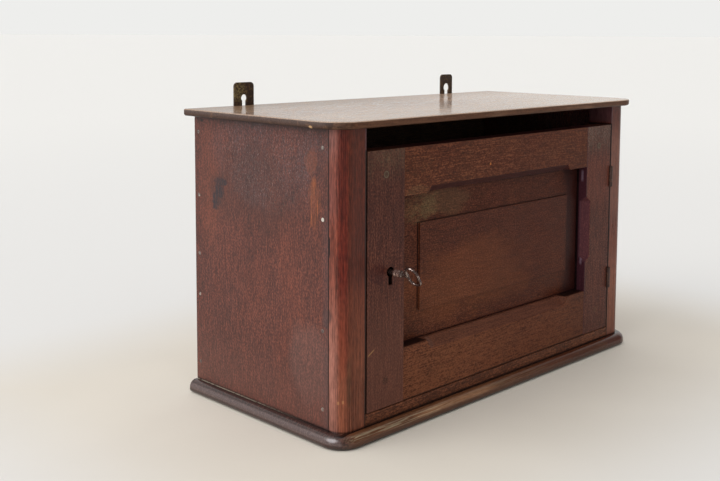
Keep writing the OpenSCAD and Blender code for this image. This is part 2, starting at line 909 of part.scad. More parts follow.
// Bolt with the notch in its lower edge that the key's bit works in
module lock_bolt() {
  notch_head = key_z + bit_reach + notch_air;
  notch_left = key_x + notch_from;
  notch_right = key_x + notch_to;
  color(steel_worn) difference() {
    block([lock_left, bolt_front, bolt_foot], [bolt_tail, bolt_front + bolt_t, bolt_head]);
    block([notch_left, bolt_front - cut, bolt_foot - cut], [notch_right, bolt_front + bolt_t + cut, notch_head]);
  }
}

// Bowed strip on top of the bolt that presses against the case
module lock_spring() {
  spring_t = 0.5;
  spring_l = 22;
  rise = lock_head - lock_wall - bolt_head - bolt_play;
  spring_x = (lock_left + bolt_tail) / 2;
  spring_r = (spring_l * spring_l / 4 + rise * rise) / (2 * rise);
  mid_y = bolt_front + bolt_t / 2;
  color(steel_worn) intersection() {
    translate([spring_x, mid_y + 1.5, bolt_head + rise - spring_r]) rotate([90, 0, 0]) difference() {
      cylinder(h = 3, r = spring_r, $fn = 180);
      translate([0, 0, -cut]) cylinder(h = 3 + 2 * cut, r = spring_r - spring_t, $fn = 180);
    }
    block([lock_left + lock_wall, mid_y - 2, bolt_head], [bolt_tail, mid_y + 2, bolt_head + rise + cut]);
  }
}

// Half section of the key's stem from the bit's end to the bow, turned in a lathe: plain shank,
// three beads in front of the door, and a thin neck that carries the bow
module key_stem_section(l) {
  neck_r = shank_r * neck_share;
  bead = shank_r + collar_rise;
  front = l - shank_out;
  polygon([
    [0, 0], [shank_r, 0], [shank_r, front + collar_from[0]], [bead, front + collar_from[0] + collar_bevel],
    [bead, front + collar_from[0] + collar_w], [neck_r, front + collar_from[0] + 2 * collar_w],
    [neck_r, front + collar_from[1]], [bead, front + collar_from[1] + collar_bevel],
    [bead, front + collar_from[1] + collar_w], [neck_r, front + collar_from[1] + 2 * collar_w],
    [neck_r, front + collar_from[2]], [bead, front + collar_from[2] + collar_bevel],
    [bead, front + collar_from[2] + collar_w], [neck_r, front + collar_from[2] + 2 * collar_w],
    [neck_r, l], [0, l]
  ]);
}

neck_share = 0.78;
collar_rise = 0.5;
collar_w = 1.2;
collar_bevel = 0.5;
collar_from = [4.8, 8.2, 11.6];

// Closed wire bow around the origin, wider across than along the stem
module key_bow() {
  for (side = [-1, 1]) {
    translate([0, 0, side * bow_straight / 2]) intersection() {
      rotate([0, 90, 0]) rotate_extrude() translate([bow_r, 0]) circle(bow_wire_r);
      translate([0, 0, side * bow_r]) cube([4 * bow_r, 4 * bow_r, 2 * bow_r], center = true);
    }
    translate([0, side * bow_r, -bow_straight / 2]) cylinder(h = bow_straight, r = bow_wire_r);
  }
}

// Key along Y, with its bit downwards, before it is turned
module key_upright() {
  tip_y = lock_back - lock_wall - tip_gap;
  bit_back = tip_y - bit_end;
  bow_y = front_y - shank_out - bow_r;
  difference() {
    union() {
      translate([0, tip_y, 0]) rotate([90, 0, 0])
        rotate_extrude() key_stem_section(tip_y - front_y + shank_out);
      block([-bit_t / 2, bit_back - bit_depth, -bit_reach], [bit_t / 2, bit_back, 0]);
      translate([0, bow_y, 0]) key_bow();
    }
    translate([0, tip_y + cut, 0]) rotate([90, 0, 0]) cylinder(h = barrel_l + cut, r = barrel_r);
  }
}

module key() {
  color(steel_worn) translate([key_x, 0, key_z]) rotate([0, -key_turned, 0]) key_upright();
}

base_board();
top_board();
left_side();
right_side();
left_post();
right_post();
bottom_rail();
back_upper();
back_lower();
door_stop();
stop_nails();
side_nails();
top_brads();
base_screws();
hanger_plate_left();
hanger_plate_right();
hanger_screws();
door_left_stile();
door_right_stile();
door_top_rail();
door_bottom_rail();
door_panel();
door_pegs();
upper_hinge_post_leaf();
upper_hinge_door_leaf();
upper_hinge_pin();
lower_hinge_post_leaf();
lower_hinge_door_leaf();
lower_hinge_pin();
hinge_post_screws();
hinge_door_screws();
lock_plate();
lock_case();
lock_screws();
lock_bolt();
lock_spring();
key();
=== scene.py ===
import math

import bpy
from mathutils import Euler, Matrix, Vector


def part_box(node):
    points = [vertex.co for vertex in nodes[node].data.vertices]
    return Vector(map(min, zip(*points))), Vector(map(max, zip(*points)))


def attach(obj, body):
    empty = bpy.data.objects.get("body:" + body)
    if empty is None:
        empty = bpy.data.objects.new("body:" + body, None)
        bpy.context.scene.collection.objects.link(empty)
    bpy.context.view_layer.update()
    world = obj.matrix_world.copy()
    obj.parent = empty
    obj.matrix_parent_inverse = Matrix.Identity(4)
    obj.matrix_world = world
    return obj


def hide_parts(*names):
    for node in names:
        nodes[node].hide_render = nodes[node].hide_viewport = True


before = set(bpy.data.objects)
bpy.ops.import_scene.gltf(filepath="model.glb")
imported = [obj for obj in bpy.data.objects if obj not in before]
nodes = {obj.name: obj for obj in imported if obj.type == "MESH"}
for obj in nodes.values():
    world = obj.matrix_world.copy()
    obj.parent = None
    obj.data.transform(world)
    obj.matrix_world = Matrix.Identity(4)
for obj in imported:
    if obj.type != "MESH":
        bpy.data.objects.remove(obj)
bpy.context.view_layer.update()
mm = 0.001

# Camera
# It stands at the cabinet's left front corner, a little above its top, and looks slightly down.
# Place, turn and lens were fitted to the edges of the cabinet in the photograph.
camera_place = Vector((-775.8, -685.9, 341.2)) * mm
camera_yaw = math.radians(-44.77)
camera_pitch = math.radians(-5.38)
camera_roll = math.radians(0.21)
lens_mm = 50.98
sensor_mm = 36
frame_width_px = 720
frame_drop_px = 110.5
camera_data = bpy.data.cameras.new("camera")
camera_data.lens = lens_mm
camera_data.sensor_width = sensor_mm
camera_data.sensor_fit = "HORIZONTAL"
camera_data.shift_y = -frame_drop_px / frame_width_px
camera = bpy.data.objects.new("camera", camera_data)
bpy.context.scene.collection.objects.link(camera)
upright = Euler((math.pi / 2 + camera_pitch, 0, camera_yaw)).to_matrix()
turned = upright @ Matrix.Rotation(camera_roll, 3, "Z")
camera.matrix_world = Matrix.Translation(camera_place) @ turned.to_4x4()
bpy.context.scene.camera = camera
bpy.context.scene.view_settings.view_transform = "Standard"

# Table and room
# A smooth pale table top, cream by the cabinet and paler further off on all sides, in a pale
# room with daylight from a window at the left.


def linear(red, green, blue):
    """A colour as read from a picture, 0 to 255, in the shader's own scale."""
    def one(level):
        share = level / 255
        return share / 12.92 if share <= 0.04045 else ((share + 0.055) / 1.055) ** 2.4
    return (one(red), one(green), one(blue), 1)


class Value:
    """A socket in a finish, so that its maths reads as an expression."""

    def __init__(self, finish, socket):
        self.finish = finish
        self.socket = socket

    def maths(self, operation, first, second):
        return self.finish.node("Math", {"operation": operation}, {0: first, 1: second})

    def __add__(self, other):
        return self.maths("ADD", self, other)

    def __radd__(self, other):
        return self.maths("ADD", other, self)

    def __sub__(self, other):
        return self.maths("SUBTRACT", self, other)

    def __rsub__(self, other):
        return self.maths("SUBTRACT", other, self)

    def __mul__(self, other):
        return self.maths("MULTIPLY", self, other)

    def __rmul__(self, other):
        return self.maths("MULTIPLY", other, self)

    def __truediv__(self, other):
        return self.maths("DIVIDE", self, other)

    def __pow__(self, other):
        return self.maths("POWER", self, other)

    def least(self, other):
        return self.maths("MINIMUM", self, other)

    def most(self, other):
        return self.maths("MAXIMUM", self, other)

    def size(self):
        return self.maths("ABSOLUTE", self, 0.0)

    def step(self, start, end):
        """0 up to start and 1 from end on, with a soft change between them."""
        limits = {"Value": self, "From Min": start, "From Max": end}
        return self.finish.node("MapRange", {"interpolation_type": "SMOOTHSTEP"}, limits)

    def fade(self, start, end):
        """The same with both places in mm."""
        return self.step(start * mm, end * mm)


class Finish:
    """The nodes of one material, or of the world."""

    def __init__(self, name, owner=None):
        self.material = owner or bpy.data.materials.new(name)
        self.material.use_nodes = True
        self.tree = self.material.node_tree
        self.tree.nodes.clear()

    def node(self, kind, settings=None, sockets=None, output=0):
        """Adds one node, sets it up, then fills its sockets with values or links."""
        made = self.tree.nodes.new("ShaderNode" + kind)
        for name, value in (settings or {}).items():
            if name == "stops":
                stops = made.color_ramp.elements
                stops[0].position, stops[0].color = value[0]
                stops[1].position, stops[1].color = value[-1]
                for place, colour in value[1:-1]:
                    stops.new(place).color = colour
            else:
                setattr(made, name, value)
        for name, value in (sockets or {}).items():
            if isinstance(value, Value):
                self.tree.links.new(value.socket, made.inputs[name])
            else:
                made.inputs[name].default_value = value
        return Value(self, made.outputs[output])

    def end(self, shader, kind="OutputMaterial"):
        """Links the finished shader to the output."""
        output = self.tree.nodes.new("ShaderNode" + kind)
        self.tree.links.new(shader.socket, output.inputs["Surface"])

    def dot(self, vector, direction):
        settings = {"operation": "DOT_PRODUCT"}
        return self.node("VectorMath", settings, {0: vector, 1: direction}, "Value")

    def blend(self, share, first, second, way="MIX"):
        """One colour turned into another by a share from 0 to 1.

        Inputs 0, 6 and 7 of the node are the share and the two colours, and output 2 the result.
        """
        settings = {"data_type": "RGBA", "blend_type": way}
        return self.node("Mix", settings, {0: share, 6: first, 7: second}, output=2)


world = bpy.data.worlds.new("room")
bpy.context.scene.world = world
sky = Finish("room", world)
outwards = sky.node("TexCoord", output="Generated")
window_side = Vector((-0.80, 0.15, 0.50)).normalized()
towards_window = sky.dot(outwards, window_side)
least_light = 0.36
window_light = 0.78
brightness = least_light + window_light * (towards_window * 0.5 + 0.5)
warm_white = (1.0, 0.985, 0.96, 1)
daylight = sky.blend(1.0, brightness, warm_white, "MULTIPLY")
room_light = sky.node("Background", None, {"Color": daylight, "Strength": 1.0})
room_front = Vector((0.15, -1, 0.1)).normalized()
front_side = sky.dot(outwards, room_front).step(-0.05, 0.55)
room_colour = sky.blend(front_side * 0.85, linear(238, 238, 236), linear(96, 90, 88))
pane_side = Vector((-0.85, 0.03, 0.50)).normalized()
bright_pane = sky.dot(outwards, pane_side).step(0.88, 0.97)
pane_colour = (6.0, 6.0, 6.2, 1)
room_colour = sky.blend(bright_pane, room_colour, pane_colour)
room_seen = sky.node("Background", None, {"Color": room_colour, "Strength": 1.0})
from_camera = sky.node("LightPath", output="Is Camera Ray")
from_gloss = sky.node("LightPath", output="Is Glossy Ray")
from_glass = sky.node("LightPath", output="Is Transmission Ray")
seen = from_camera.most(from_gloss).most(from_glass)
shown_room = sky.node("MixShader", None, {0: seen, 1: room_light, 2: room_seen})
sky.end(shown_room, "OutputWorld")

window = bpy.data.lights.new("window", "SUN")
window.energy = 0.95
window.angle = math.radians(55)
window.color = (1.0, 0.98, 0.95)
window_lamp = bpy.data.objects.new("window", window)
bpy.context.scene.collection.objects.link(window_lamp)
lamp_side = Vector((-0.72, 0.26, 0.64))
window_lamp.rotation_euler = lamp_side.to_track_quat("Z", "Y").to_euler()

table_half = 200.0
bpy.ops.object.select_all(action="DESELECT")
bpy.ops.mesh.primitive_plane_add(size=2 * table_half)
table = bpy.context.object
table.name = "table"
cream = Finish("cream_table")
spot = cream.node("TexCoord", output="Object")
clouds = cream.node("TexNoise", None, {"Vector": spot, "Scale": 5.0, "Detail": 3.0})
cream_tone = cream.blend(clouds.step(0.35, 0.65), linear(222, 216, 206), linear(226, 220, 210))
# How far the cabinet reaches from its middle and where the table's tones change, in mm
cabinet_half_width = 227
cabinet_half_depth = 109
cream_until = 60
pale_from = 300
palest_from = 3000
from_side = cream.node("SeparateXYZ", None, {0: spot}, "X").size() - cabinet_half_width * mm
from_front = cream.node("SeparateXYZ", None, {0: spot}, "Y").size() - cabinet_half_depth * mm
away = from_side.most(from_front)
pale = linear(227, 227, 227)
palest = linear(233, 233, 232)
pale_tone = cream.blend(away.fade(pale_from, palest_from), pale, palest)
table_tone = cream.blend(away.fade(cream_until, pale_from), cream_tone, pale_tone)
grain_height = cream.node("TexNoise", None, {"Vector": spot, "Scale": 900.0, "Detail": 2.0})
grain_depth = 0.2 * mm
grain_bump = cream.node("Bump", None, {
    "Height": grain_height, "Strength": 0.05, "Distance": grain_depth})
table_top = cream.node("BsdfPrincipled", None, {
    "Base Color": table_tone, "Roughness": 0.62, "Specular IOR Level": 0.15, "Normal": grain_bump})
cream.end(table_top)
table.data.materials.append(cream.material)


# Base board
# A broad oak board that carries the whole cabinet. It reaches out on three sides, where its edge
# is rounded over by hand and its front corners are round. Its rounding has worn streaks and a
# painted highlight along its upper part, and painted shade along its lower part.
class Surface(Finish):
    """A finish that knows where on the piece it is."""

    def __init__(self, name, seed, along="z"):
        super().__init__(name)
        self.spot = self.node("TexCoord", output="Object")
        self.x = self.node("SeparateXYZ", None, {0: self.spot}, "X")
        self.y = self.node("SeparateXYZ", None, {0: self.spot}, "Y")
        self.z = self.node("SeparateXYZ", None, {0: self.spot}, "Z")
        self.seed = seed
        self.along = "xyz".index(along)

    def noise(self, scale, stretch, detail, distortion, layer):
        """Noise drawn out along the grain; stretch 1 leaves it even."""
        scales = [1.0, 1.0, 1.0]
        scales[self.along] = stretch
        shift = (self.seed * 0.37 + layer * 0.11, self.seed * 0.19 - layer * 0.13, self.seed * 0.23)
        drawn = self.node("Mapping", None, {
            "Vector": self.spot, "Location": shift, "Scale": scales})
        return self.node("TexNoise", None, {
            "Vector": drawn, "Scale": scale, "Detail": detail, "Distortion": distortion})

    def edge(self, low, high):
        """Distance to the nearest edge of a box, in metres."""
        gaps = []
        for value, start, end in zip((self.x, self.y, self.z), low, high):
            gaps.append((value - start).size().least((value - end).size()))
        smaller = gaps[0].least(gaps[1])
        larger = gaps[0].most(gaps[1])
        return smaller.most(larger.least(gaps[2]))

    def patch(self, centre, reach, ragged=0.3, scale=160):
        """1 inside an oval patch and 0 outside it, in mm; None in centre leaves that axis out."""
        total = 0.0
        for value, middle, half in zip((self.x, self.y, self.z), centre, reach):
            if middle is not None:
                total = ((value - middle * mm) / (half * mm)) ** 2 + total
        torn = (self.noise(scale, 0.7, 3, 0.4, 11) - 0.5) * (4 * ragged)
        return (total + torn).step(1.0, 0.3)

    def band(self, value, start, end, soft=0.4):
        """1 where a length lies between two places in mm, with soft ends."""
        return value.fade(start - soft, start + soft) * value.fade(end + soft, end - soft)

    def tint(self, share, colour):
        self.colour = self.blend(share, self.colour, linear(*colour))

    def bumps(self, relief):
        """The piece's height as small bumps; relief in mm."""
        return self.node("Bump", None, {
            "Height": self.height, "Strength": 0.5, "Distance": relief * mm})


class Wood(Surface):
    """Dark stained and waxed oak. The grain runs along x, y or z of the piece."""

    def __init__(self, name, along, seed, dark, middle, light,
                 gloss=0.45, streaks=0.22, cloudy=0.16, drawn=0.10, specks=0.6):
        super().__init__(name, seed, along)
        self.clouds = self.noise(15, 0.7, 3, 0.5, 1).step(0.30, 0.70)
        self.fibres = self.noise(850, drawn, 4, 0.1, 3).step(0.28, 0.72)
        self.grit = self.noise(850, specks, 3, 0.0, 4).step(0.24, 0.76)
        pores = self.noise(1250, 0.12, 2, 0.2, 5).step(0.60, 0.72)
        self.fine = 1.2 * streaks * (self.fibres - 0.5) + 0.46 * (self.grit - 0.5)
        depth = 0.5 + self.fine + cloudy * (self.clouds - 0.5)
        stops = [(0.22, linear(*dark)), (0.5, linear(*middle)), (0.78, linear(*light))]
        toned = self.node("ValToRGB", {"stops": stops}, {0: depth})
        hollow = linear(*[level * 0.55 for level in dark])
        self.colour = self.blend(pores * 0.45, toned, hollow)
        wax = self.noise(38, 0.6, 3, 0.5, 7)
        self.rough = gloss + 0.16 * (wax - 0.5) + 0.10 * pores + 0.05 * (self.fibres - 0.5)
        self.height = 0.4 * self.fibres + 0.35 * self.grit - 0.9 * pores

    def wear(self, low, high, colour, reach, share):
        """Edges rubbed by hands and dust cloths; reach in mm."""
        torn = (self.noise(230, 0.4, 4, 0.4, 9) - 0.5) * (reach * mm * 2.4)
        rubbed = (self.edge(low, high) + torn).step(reach * mm, reach * mm * 0.2)
        self.tint(rubbed * share, colour)

    def haze(self, colour, amount, where=1.0, size=620):
        """Old polish and dust that dulls the wood in fine specks."""
        specks = self.noise(size, 1.0, 3, 0.0, 6).step(0.40, 0.66)
        drifts = self.noise(26, 0.6, 3, 0.6, 8).step(0.20, 0.75)
        self.tint((0.2 + 0.8 * specks) * drifts * where * amount, colour)

    def close(self, relief=0.14, shine=0.3, coat=0.0, grain=0.75):
        """Ends the finish; relief in mm, the others as shares."""
        self.colour = self.blend(1.0, self.colour, 1.0 + grain * self.fine, "MULTIPLY")
        self.end(self.node("BsdfPrincipled", None, {
            "Base Color": self.colour, "Roughness": self.rough, "Normal": self.bumps(relief),
            "Specular IOR Level": shine, "Coat Weight": coat, "Coat Roughness": 0.12}))


def dress(node, finish):
    """Gives a CAD piece its finish."""
    for place in nodes[node].material_slots:
        place.material = finish.material


# How a board's edges are found and eased
weld_mm = 0.002
weld_after_mm = 0.001
flat_degrees = 0.4
sharp_degrees = 32
smooth_degrees = 38
least_edge_mm = 1.6


def eased(node, body, finish, round_mm=0.5):
    """Stands in for a board with its sharp edges taken off, as a hand plane leaves them."""
    piece = bpy.data.objects.new(node + "_eased", nodes[node].data.copy())
    bpy.context.scene.collection.objects.link(piece)
    bpy.ops.object.select_all(action="DESELECT")
    piece.select_set(True)
    bpy.context.view_layer.objects.active = piece
    bpy.context.tool_settings.mesh_select_mode = (False, True, False)
    bpy.ops.object.mode_set(mode="EDIT")
    bpy.ops.mesh.customdata_custom_splitnormals_clear()
    bpy.ops.mesh.select_all(action="SELECT")
    bpy.ops.mesh.remove_doubles(threshold=weld_mm * mm)
    bpy.ops.mesh.dissolve_limited(angle_limit=math.radians(flat_degrees))
    bpy.ops.mesh.select_all(action="DESELECT")
    bpy.ops.mesh.edges_select_sharp(sharpness=math.radians(sharp_degrees))
    bpy.ops.object.mode_set(mode="OBJECT")
    points = piece.data.vertices
    for edge in piece.data.edges:
        start, end = (points[corner].co for corner in edge.vertices)
        if (end - start).length < least_edge_mm * mm:
            edge.select = False
    bpy.ops.object.mode_set(mode="EDIT")
    bpy.ops.mesh.bevel(offset=round_mm * mm, segments=2, profile=0.5, clamp_overlap=False)
    bpy.ops.mesh.select_all(action="SELECT")
    bpy.ops.mesh.remove_doubles(threshold=weld_after_mm * mm)
    bpy.ops.object.mode_set(mode="OBJECT")
    bpy.ops.object.shade_smooth_by_angle(angle=math.radians(smooth_degrees))
    flat_faces = piece.modifiers.new("flat_faces", "WEIGHTED_NORMAL")
    flat_faces.keep_sharp = True
    bpy.ops.object.modifier_apply(modifier=flat_faces.name)
    piece.data.materials.clear()
    piece.data.materials.append(finish.material)
    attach(piece, body)
    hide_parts(node)


base_wood = Wood("base_oak", "x", 1, (40, 24, 22), (60, 38, 35), (86, 59, 53),
                 gloss=0.15, streaks=0.34, cloudy=0.2, drawn=0.04, specks=0.24)
front_run = base_wood.y.fade(-88, -99) * base_wood.x.fade(-219, -203)
base_wood.tint(front_run * 0.8, (98, 60, 36))
upper_edge = base_wood.band(base_wood.z, 6.6, 10.8, 1.3)
# Fine light streaks along the front's upper rounding: worn grain, with a painted highlight.
worn_and_highlight_lines = base_wood.noise(1100, 0.03, 3, 0.0, 12).step(0.42, 0.64)
worn_and_highlight_run = base_wood.patch((-150, None, None), (80, 1, 1), 0.25, 40)
base_wood.tint(front_run * upper_edge * worn_and_highlight_lines * (0.2 + 0.6 * worn_and_highlight_run), (156, 142, 116))
warm_run = base_wood.patch((-75, None, None), (62, 1, 1), 0.25, 40)
base_wood.tint(front_run * upper_edge * warm_run * 0.45, (160, 116, 84))
base_wood.tint(front_run * base_wood.x.fade(-40, 110) * 0.75, (66, 24, 6))
# Painted shade: the lower part of the front's rounding is darker.
base_wood.tint(front_run * base_wood.z.fade(7.5, 4.0) * 0.5, (50, 27, 16))
red_end = base_wood.patch((208, None, None), (40, 1, 1), 0.3, 40)
base_wood.tint(red_end * 0.6, (68, 32, 26))
# Painted shade: the underside of the rounding is darker still.
lower_line = base_wood.z.fade(4.4, 1.2)
base_wood.tint(lower_line * 0.75, (26, 15, 12))
# Painted shade along the base's top, where the rail and posts stand on it.
base_join_shade = base_wood.band(base_wood.y, -101.8, -98, 0.6) * base_wood.z.fade(10, 11)
base_wood.tint(base_join_shade * 0.9, (20, 11, 10))
# A darker strip along the base's top beside the side board.
side_join_line = base_wood.band(base_wood.x, -218.4, -214, 0.6) * base_wood.z.fade(10, 11)
base_wood.tint(side_join_line * 0.85, (24, 14, 14))
dust_line = base_wood.band(base_wood.x, -216.2, -214.6, 0.4) * base_wood.y.fade(-70, 60)
dust_line = dust_line * base_wood.z.fade(10.5, 11.5)
dust = base_wood.noise(260, 0.3, 4, 0.3, 13).step(0.30, 0.50)
base_wood.tint(dust_line * dust * 0.85, (172, 164, 146))
side_run = base_wood.x.fade(-216.5, -218.0)
base_wood.tint(side_run * 0.5, (50, 29, 26))
# A lighter band along the side's rounding: a painted highlight.
painted_side_highlight = base_wood.patch((None, None, 7.0), (1, 1, 3.0), 0.0)
base_wood.tint(side_run * painted_side_highlight * (0.45 + 0.25 * worn_and_highlight_lines), (108, 92, 91))
base_wood.close(relief=0.02, shine=0.42, coat=0.3 * (1.0 - front_run), grain=0.5)
eased("base_board", "carcass", base_wood, round_mm=0.4)

# Front posts
# Two square oak posts stand on the base at the front. The outer corner of each is rounded, and a
# rebate at the back takes the side board. Sun and hands left their sides redder than the boards.
# Their flat sides are painted lighter as a reflection, and their rounded corners darker as shade.
for node, seed in (("left_post", 2), ("right_post", 22)):
    post_wood = Wood(node + "_oak", "z", seed, (62, 22, 14), (92, 34, 23), (118, 50, 34),
                     gloss=0.30, streaks=0.30, cloudy=0.24, drawn=0.03, specks=0.18)
    around = 0.0 - post_wood.x.size() - post_wood.y
    lower_part = post_wood.z.fade(150, 60)
    flat_side = around.fade(-115.5, -125.5)
    # Painted reflection: the flat side is lighter and pinker, more so low down.
    flat_side_reflection = 0.45 + 0.3 * lower_part + 0.3 * (post_wood.fibres - 0.5)
    post_wood.tint(flat_side * flat_side_reflection, (142, 84, 69))
    front_face = around.fade(-110.5, -106)
    post_wood.tint(front_face * 0.75, (78, 34, 20))
    warm_run = post_wood.band(post_wood.z, 60, 135, 14)
    post_wood.tint(front_face * warm_run * 0.3, (128, 64, 40))
    curve = post_wood.band(around, -119, -108.5, 2)
    # Painted shade: the rounded corner is darker and redder, darker still up high.
    post_wood.tint(curve * 0.5, (104, 26, 10))
    post_wood.tint(curve * post_wood.z.fade(120, 240) * 0.5, (56, 24, 18))
    post_wood.tint(curve * lower_part * 0.45, (150, 90, 66))
    front_glow = lower_part * (0.3 + 0.3 * post_wood.clouds + 0.3 * (post_wood.fibres - 0.5))
    post_wood.tint(front_glow, (132, 80, 58))
    curve_low = curve * post_wood.band(post_wood.z, 62, 112, 14)
    post_wood.tint(curve_low * 0.4, (112, 36, 16))
    low_patch = post_wood.patch((None, None, 52), (1, 1, 26), 0.5, 60)
    olive = post_wood.band(around, -109, -104, 2) * low_patch
    post_wood.tint(olive * 0.5, (72, 50, 34))
    post_wood.tint(lower_part * flat_side * 0.5, (172, 120, 108))
    post_wood.tint(post_wood.band(post_wood.z, 192, 232, 10) * flat_side * 0.3, (98, 64, 64))
    post_wood.tint(post_wood.z.fade(45, 15) * flat_side * 0.35, (84, 50, 42))
    # Painted light: the post's side inside the slot above the door is lightened.
    slot_painted_light = post_wood.z.fade(244, 250) * post_wood.x.size().fade(189, 188)
    post_wood.tint(slot_painted_light * 0.75, (88, 60, 64))
    head = post_wood.z.fade(225, 262)
    post_wood.tint(head * flat_side * 0.5, (142, 102, 97))
    # Place around the post, half width and height of each, in mm
    filler_dots = ((-118.9, 1.3, 37.6), (-113.4, 1.1, 38.4))
    for place, half, height in filler_dots:
        dot_across = post_wood.band(around, place - half, place + half, 0.5)
        dot_along = post_wood.band(post_wood.z, height - 1.3, height + 1.3, 0.6)
        post_wood.tint(dot_across * dot_along * 0.4, (182, 134, 88))
    smudge = post_wood.patch((None, -85, 109), (1, 4.5, 7.5), 0.3) * flat_side
    post_wood.tint(smudge * 0.6, (52, 44, 46))
    if node == "left_post":
        split = post_wood.band(around, -131.0, -128.5, 0.4)
        split_run = post_wood.patch((None, None, 167.5), (1, 1, 9), 0.3)
        post_wood.tint(split * split_run * 0.9, (16, 9, 9))
    else:
        lit_front = post_wood.band(post_wood.z, 145, 238, 16) * front_face
        post_wood.tint(lit_front * 0.36, (142, 96, 78))
    seam = around.fade(-129.3, -130.2)
    post_wood.tint(seam * 0.9, (24, 12, 11))
    # Painted shade in the gap between the post and the door.
    door_gap_shade = post_wood.x.size().fade(188.6, 187.9) * post_wood.z.fade(247, 245.5)
    post_wood.tint(door_gap_shade * 0.9, (20, 10, 9))
    # Painted shade at the post's foot, where it stands on the base.
    post_foot_shade = post_wood.z.fade(13.6, 12.4)
    post_wood.tint(post_foot_shade * 0.7, (34, 20, 17))
    post_wood.close(relief=0.1, shine=0.2, grain=1.0)
    eased(node, "carcass", post_wood)

# Side boards
# One oak board on each side, grain upright, nailed to the post's rebate and to the back boards.
# The left one has a dusty bloom, a blue-black stain and thin orange streaks by the post.
for node, seed in (("left_side", 3), ("right_side", 4)):
    board_low, board_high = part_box(node)
    side_wood = Wood(node + "_oak", "z", seed, (62, 32, 24), (85, 42, 33), (111, 60, 46),
                     gloss=0.44)
    red_drifts = side_wood.noise(30, 0.5, 3, 0.4, 14).step(0.45, 0.75)
    side_wood.tint(red_drifts * 0.25, (118, 58, 40))
    grey_foot = side_wood.patch((None, -62, 62), (1, 34, 44), 0.4, 30)
    side_wood.tint(grey_foot * 0.3, (116, 88, 82))
    foot = side_wood.z.fade(80, 20)
    side_wood.tint(foot * 0.4, (104, 66, 57))
    bloom = side_wood.patch((None, -6, 236), (1, 96, 56), 0.3, 24)
    side_wood.haze((86, 73, 77), 0.75, bloom * 0.8 + 0.1, size=900)
    brown_drift = side_wood.patch((None, 20, 205), (1, 80, 50), 0.4, 24)
    side_wood.tint(brown_drift * 0.4, (60, 34, 28))
    chalk = side_wood.noise(1300, 0.5, 2, 0.0, 15).step(0.58, 0.72)
    side_wood.tint(chalk * bloom * 0.42, (152, 136, 130))
    dark_specks = side_wood.noise(1100, 0.6, 2, 0.0, 18).step(0.42, 0.30)
    side_wood.tint(dark_specks * bloom * 0.5, (48, 34, 38))
    back_glow = side_wood.patch((None, 78, 196), (1, 18, 66), 0.6, 30)
    side_wood.tint(back_glow * 0.3 * side_wood.clouds, (122, 64, 42))
    corner_glow = side_wood.patch((None, -63, 236), (1, 10, 12), 0.7, 60)
    side_wood.tint(corner_glow * 0.3, (138, 76, 50))
    thin_streaks = side_wood.noise(520, 0.05, 2, 0.2, 16).step(0.50, 0.60)
    glow = side_wood.patch((None, -67, 201), (1, 9, 24), 0.5, 90)
    side_wood.tint(glow * (0.2 + 0.6 * thin_streaks), (150, 82, 46))
    stain = side_wood.patch((None, 60, 206.5), (1, 12, 4), 0.6, 240)
    stain = stain.most(side_wood.patch((None, 62, 199), (1, 8, 9), 0.7, 210))
    stain = stain.most(side_wood.patch((None, 68, 189), (1, 7, 11), 0.7, 200))
    stain_halo = side_wood.patch((None, 64, 198), (1, 13, 21), 0.6, 110)
    side_wood.tint(stain_halo * 0.35, (58, 34, 30))
    side_wood.tint(stain * (0.3 + 0.65 * side_wood.fibres.step(0.2, 0.75)), (36, 32, 38))
    if node == "left_side":
        crack_way = side_wood.y * 0.79 + side_wood.z * 0.61
        crack_run = side_wood.band(side_wood.z, 166, 180, 2)
        crack = side_wood.band(crack_way, 171.4, 172.0, 0.3) * crack_run
        side_wood.tint(crack * 0.5, (46, 28, 26))
        dark_spot = side_wood.patch((None, 88.3, 260.8), (1, 2.4, 1.8), 0.1)
        side_wood.tint(dark_spot * 0.85, (24, 14, 12))
    smudge = side_wood.patch((None, -81, 107), (1, 5, 9), 0.4)
    side_wood.tint(smudge * 0.5, (50, 42, 44))
    edge_shade = side_wood.y.fade(-74, -83) * side_wood.z.fade(210, 180)
    side_wood.tint(edge_shade * 0.3, (78, 58, 60))
    split = side_wood.patch((None, -85, 170), (1, 1.4, 9.5), 0.15)
    side_wood.tint(split * 0.9, (14, 8, 8))
    side_wood.tint(side_wood.y.fade(-83.4, -84.2) * 0.9, (24, 12, 11))
    side_wood.tint(side_wood.z.fade(14.2, 12.6) * 0.6, (38, 24, 22))
    # Painted shadow under the top board's edge.
    side_wood.tint(side_wood.z.fade(259, 264.4) * 0.6, (40, 26, 24))
    # Painted shade: the inner face is darker.
    inside_shade = side_wood.x.size().fade(205, 204)
    side_wood.tint(inside_shade * 0.7, (54, 34, 32))
    side_wood.wear(board_low, board_high, (70, 50, 46), reach=1.6, share=0.3)
    side_wood.close(relief=0.14, shine=0.34, grain=0.9)
    eased(node, "carcass", side_wood)

